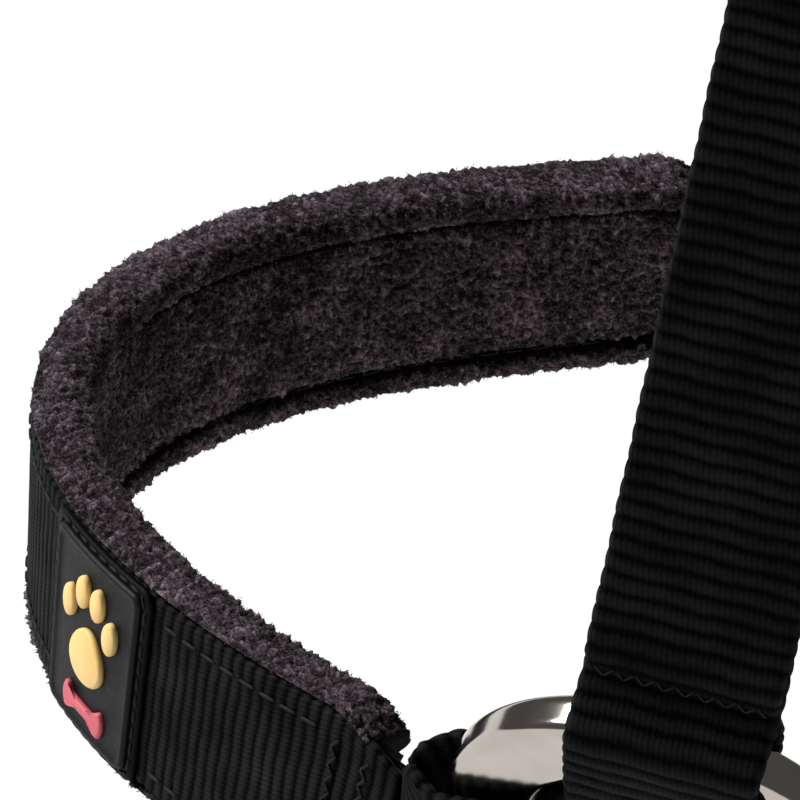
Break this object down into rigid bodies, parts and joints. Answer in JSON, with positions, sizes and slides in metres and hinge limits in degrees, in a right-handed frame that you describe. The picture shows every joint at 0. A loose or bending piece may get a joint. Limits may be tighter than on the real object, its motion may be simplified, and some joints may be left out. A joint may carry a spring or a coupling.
{
  "type": "head halter",
  "caption": "Padded dog head halter: fleece-lined noseband, ring at each cheek, cheek straps to a buckled neck strap, and a chin strap with a hanging lead ring.",
  "frame": {"origin": "centre of the muzzle opening, level with the middle of the noseband at the bridge of the nose", "axes": "+Z from the nose towards the ears, +X towards the chin, +Y towards the dog's right cheek"},
  "size_m": [0.164, 0.1718, 0.2286],
  "materials": {
    "webbing": "ribbed woven nylon, matt",
    "fleece": "short curly pile",
    "foam": "closed-cell foam",
    "label": "moulded soft rubber, satin",
    "yellow_print": "raised moulded rubber",
    "coral_print": "raised moulded rubber",
    "thread": "twisted nylon thread",
    "nickel": "polished nickel plate",
    "buckle_plastic": "fine-grained moulded plastic",
    "keeper_rubber": "moulded rubber, satin"
  },
  "bodies": {
    "noseband": {"noseband_webbing": "webbing", "noseband_fleece": "fleece", "noseband_foam": "foam", "noseband_label": "label", "label_paw": "yellow_print", "label_bone": "coral_print", "ring_tab_left": "webbing", "ring_tab_right": "webbing", "noseband_tacks": "thread"},
    "ring_left": {"cheek_ring_left": "nickel"},
    "ring_right": {"cheek_ring_right": "nickel"},
    "head_strap": {"cheek_strap_left": "webbing", "cheek_strap_right": "webbing", "cheek_tacks": "thread", "neck_strap_left": "webbing", "neck_strap_right": "webbing", "buckle_female": "buckle_plastic", "buckle_male": "buckle_plastic", "tri_glide": "nickel"},
    "prong_upper": {"buckle_prong_upper": "buckle_plastic"},
    "prong_lower": {"buckle_prong_lower": "buckle_plastic"},
    "keeper": {"strap_keeper": "keeper_rubber"},
    "chin": {"chin_strap": "webbing", "lead_tab": "webbing", "tab_tacks": "thread"},
    "lead": {"lead_ring": "nickel"}
  },
  "joints": [
    {"name": "ring_left_spin", "type": "hinge", "parent": "noseband", "child": "ring_left", "pos_m": [0.0222, -0.071, 0.0182], "axis": [0, -0.891, -0.454], "continuous": true},
    {"name": "ring_right_spin", "type": "hinge", "parent": "noseband", "child": "ring_right", "pos_m": [0.0222, 0.071, 0.0182], "axis": [0, 0.891, -0.454], "continuous": true},
    {"name": "head_strap_swing", "type": "hinge", "parent": "noseband", "child": "head_strap", "pos_m": [0.0222, 0, 0.0182], "axis": [0, 1, 0], "range_deg": [-5, 5]},
    {"name": "chin_strap_swing", "type": "hinge", "parent": "noseband", "child": "chin", "pos_m": [0.0222, 0, 0.0182], "axis": [0, 1, 0], "range_deg": [-4, 4]},
    {"name": "lead_ring_swing", "type": "hinge", "parent": "chin", "child": "lead", "pos_m": [0.084, 0, -0.0294], "axis": [0, 1, 0], "range_deg": [-75, 75]},
    {"name": "prong_upper_squeeze", "type": "hinge", "parent": "head_strap", "child": "prong_upper", "pos_m": [-0.0332, 0.0068, 0.1684], "axis": [1, 0, 0], "range_deg": [0, 8], "stiffness_Nm_per_rad": 0.15, "springref_deg": -2.86},
    {"name": "prong_lower_squeeze", "type": "hinge", "parent": "head_strap", "child": "prong_lower", "pos_m": [-0.0332, 0.0068, 0.1516], "axis": [1, 0, 0], "range_deg": [-8, 0], "stiffness_Nm_per_rad": 0.15, "springref_deg": 2.86},
    {"name": "keeper_slide", "type": "slide", "parent": "head_strap", "child": "keeper", "axis": [0, 1, 0], "range_m": [-0.005, 0.008]}
  ],
  "couplings": [
    {"joint": "prong_lower_squeeze", "follows": "prong_upper_squeeze", "ratio": -1}
  ]
}
